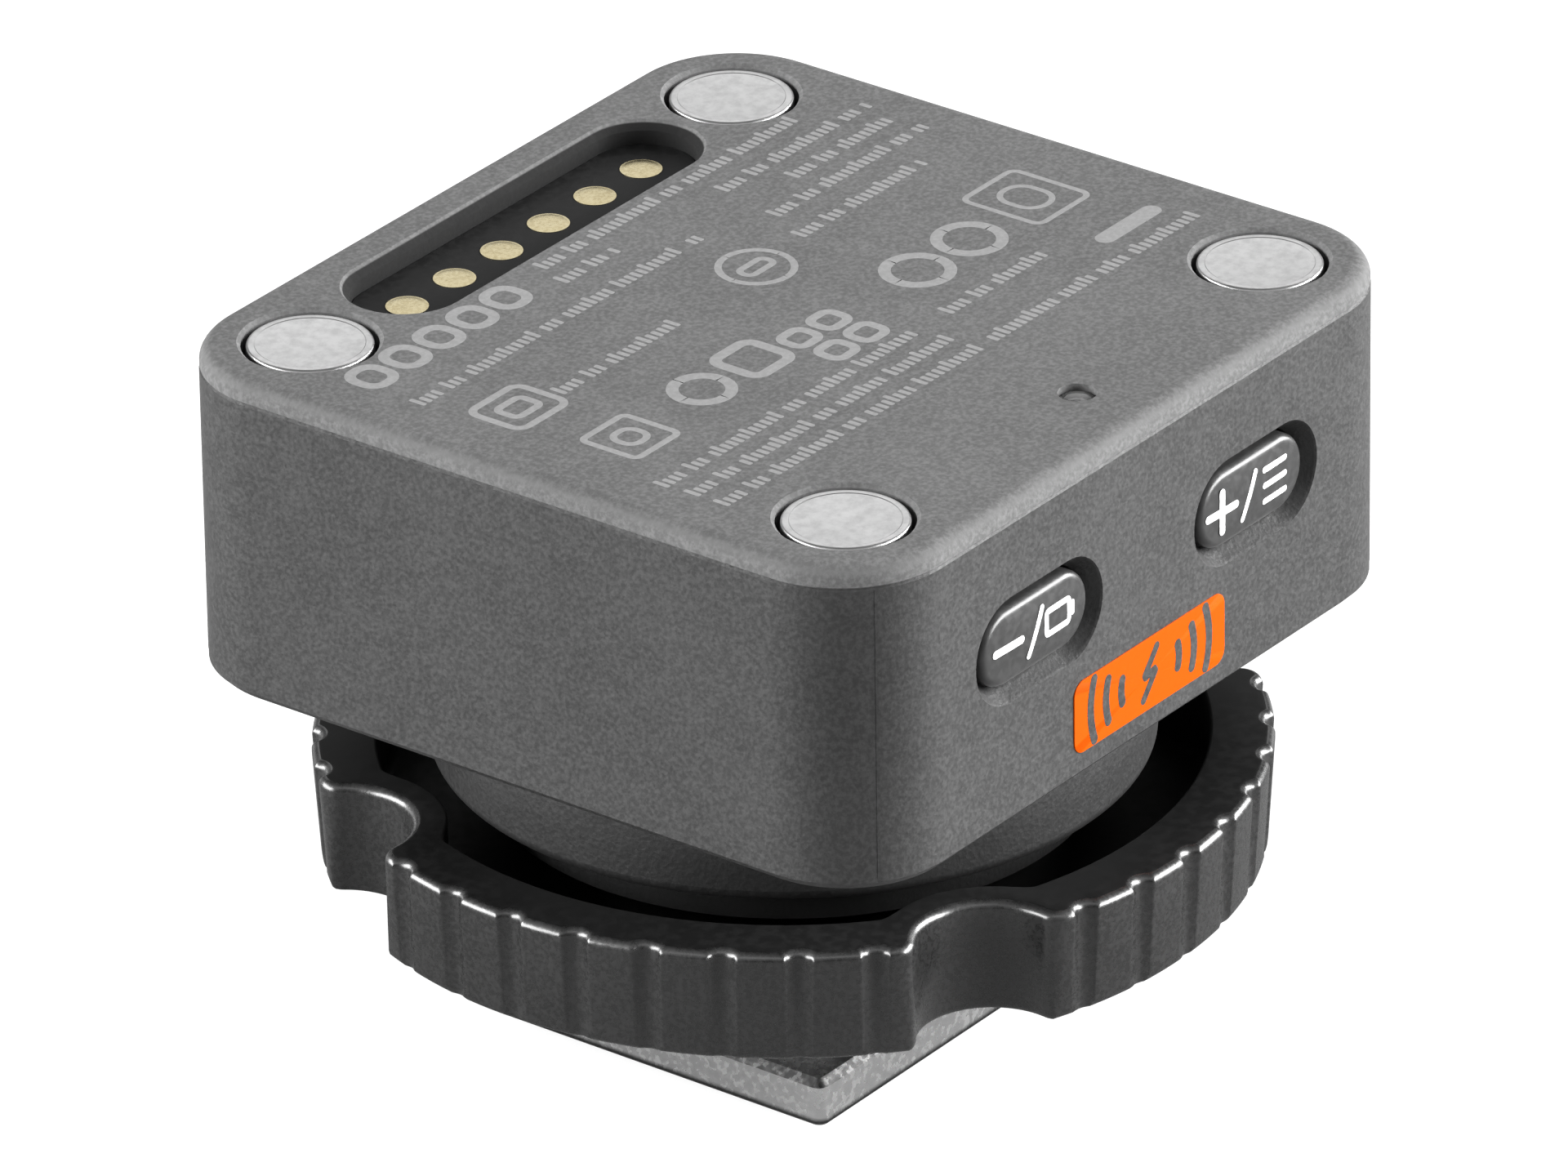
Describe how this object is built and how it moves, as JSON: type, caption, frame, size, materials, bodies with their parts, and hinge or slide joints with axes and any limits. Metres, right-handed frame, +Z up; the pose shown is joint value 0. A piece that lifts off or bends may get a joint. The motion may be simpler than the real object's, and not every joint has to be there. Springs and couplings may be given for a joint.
{
  "type": "wireless flash trigger",
  "caption": "Small square wireless flash trigger with corner magnets and a contact strip on top, two side buttons, a fluted locking ring and a metal hot-shoe foot.",
  "frame": {"origin": "on the axis of the locking ring, level with the tips of the shoe pins, which are the lowest points", "axes": "+Z up through the case, -Y out of the face with the buttons, +Y the way the foot slides into a shoe, +X to the right seen from the buttons"},
  "size_m": [0.0378, 0.0378, 0.0305],
  "materials": {
    "cover_plastic": "fine matt moulded top, dark grey",
    "shell_plastic": "spark-textured dark grey",
    "ring_plastic": "satin black, lightly textured grip",
    "pad_plastic": "satin black",
    "stem_plastic": "smooth black",
    "insert_plastic": "fine matt black",
    "button_plastic": "smooth satin dark grey",
    "foot_metal": "finely blasted sides, polished top",
    "screw_steel": "zinc plated",
    "magnet_nickel": "satin nickel plate",
    "gold_contact": "gold plated",
    "spring_steel": "drawn wire",
    "can_metal": "tin plated",
    "clear_lens": "clear polished",
    "label_print": "orange screen print",
    "circuit_board": "solder resist",
    "flex_film": "amber polyimide",
    "battery_wrap": "foil pouch",
    "foam": "closed-cell foam",
    "ceramic": "glazed ceramic",
    "led_resin": "clear resin",
    "switch_body": "glass-filled",
    "switch_plunger": "natural"
  },
  "bodies": {
    "root": {"top_cover": "cover_plastic", "main_shell": "shell_plastic", "threaded_stem": "stem_plastic", "contact_insert": "insert_plastic", "contact_block": "insert_plastic", "foot_plate": "foot_metal", "foot_screws": "screw_steel", "stem_screws": "screw_steel", "case_screws": "screw_steel", "contact_board": "circuit_board", "main_board": "circuit_board", "foot_flex": "flex_film", "top_flex": "flex_film", "light_pipe": "clear_lens", "side_label": "label_print", "battery_cell": "battery_wrap", "battery_foam": "foam", "shield_can": "can_metal", "chip_antenna": "ceramic", "status_led": "led_resin", "flex_connector": "insert_plastic", "usb_shell": "can_metal", "usb_tongue": "insert_plastic", "magnet_front_left": "magnet_nickel", "magnet_front_right": "magnet_nickel", "magnet_rear_left": "magnet_nickel", "magnet_rear_right": "magnet_nickel", "top_contact_1": "gold_contact", "top_contact_2": "gold_contact", "top_contact_3": "gold_contact", "top_contact_4": "gold_contact", "top_contact_5": "gold_contact", "top_contact_6": "gold_contact", "minus_switch": "switch_body", "plus_switch": "switch_body", "pin_spring_centre": "spring_steel", "pin_spring_small_1": "spring_steel", "pin_spring_small_2": "spring_steel", "pin_spring_small_3": "spring_steel", "pin_spring_small_4": "spring_steel"},
    "pressure_plate": {"pressure_plate": "pad_plastic"},
    "locking_ring": {"locking_ring": "ring_plastic"},
    "minus_button": {"minus_button": "button_plastic", "minus_plunger": "switch_plunger"},
    "plus_button": {"plus_button": "button_plastic", "plus_plunger": "switch_plunger"},
    "shoe_pin_centre": {"shoe_pin_centre": "gold_contact"},
    "shoe_pin_small_1": {"shoe_pin_small_1": "gold_contact"},
    "shoe_pin_small_2": {"shoe_pin_small_2": "gold_contact"},
    "shoe_pin_small_3": {"shoe_pin_small_3": "gold_contact"},
    "shoe_pin_small_4": {"shoe_pin_small_4": "gold_contact"}
  },
  "joints": [
    {"name": "ring_travel", "type": "slide", "parent": "root", "child": "pressure_plate", "axis": [0, 0, 1], "range_m": [-0.0028, 0.0012]},
    {"name": "ring_turn", "type": "hinge", "parent": "pressure_plate", "child": "locking_ring", "pos_m": [0, 0, 0.0095], "axis": [0, 0, 1], "range_deg": [-252, 108]},
    {"name": "minus_press", "type": "slide", "parent": "root", "child": "minus_button", "axis": [0, 1, 0], "range_m": [0, 0.0004], "stiffness_N_per_m": 3000, "springref_m": -0.0002},
    {"name": "plus_press", "type": "slide", "parent": "root", "child": "plus_button", "axis": [0, 1, 0], "range_m": [0, 0.0004], "stiffness_N_per_m": 3000, "springref_m": -0.0002},
    {"name": "pin_centre_press", "type": "slide", "parent": "root", "child": "shoe_pin_centre", "axis": [0, 0, 1], "range_m": [0, 0.0004], "stiffness_N_per_m": 600, "springref_m": -0.0003, "deforming": ["pin_spring_centre"]},
    {"name": "pin_small_1_press", "type": "slide", "parent": "root", "child": "shoe_pin_small_1", "axis": [0, 0, 1], "range_m": [0, 0.0004], "stiffness_N_per_m": 600, "springref_m": -0.0003, "deforming": ["pin_spring_small_1"]},
    {"name": "pin_small_2_press", "type": "slide", "parent": "root", "child": "shoe_pin_small_2", "axis": [0, 0, 1], "range_m": [0, 0.0004], "stiffness_N_per_m": 600, "springref_m": -0.0003, "deforming": ["pin_spring_small_2"]},
    {"name": "pin_small_3_press", "type": "slide", "parent": "root", "child": "shoe_pin_small_3", "axis": [0, 0, 1], "range_m": [0, 0.0004], "stiffness_N_per_m": 600, "springref_m": -0.0003, "deforming": ["pin_spring_small_3"]},
    {"name": "pin_small_4_press", "type": "slide", "parent": "root", "child": "shoe_pin_small_4", "axis": [0, 0, 1], "range_m": [0, 0.0004], "stiffness_N_per_m": 600, "springref_m": -0.0003, "deforming": ["pin_spring_small_4"]}
  ],
  "couplings": [
    {"joint": "ring_travel", "follows": "ring_turn", "m_per_rad": 0.00063662}
  ]
}
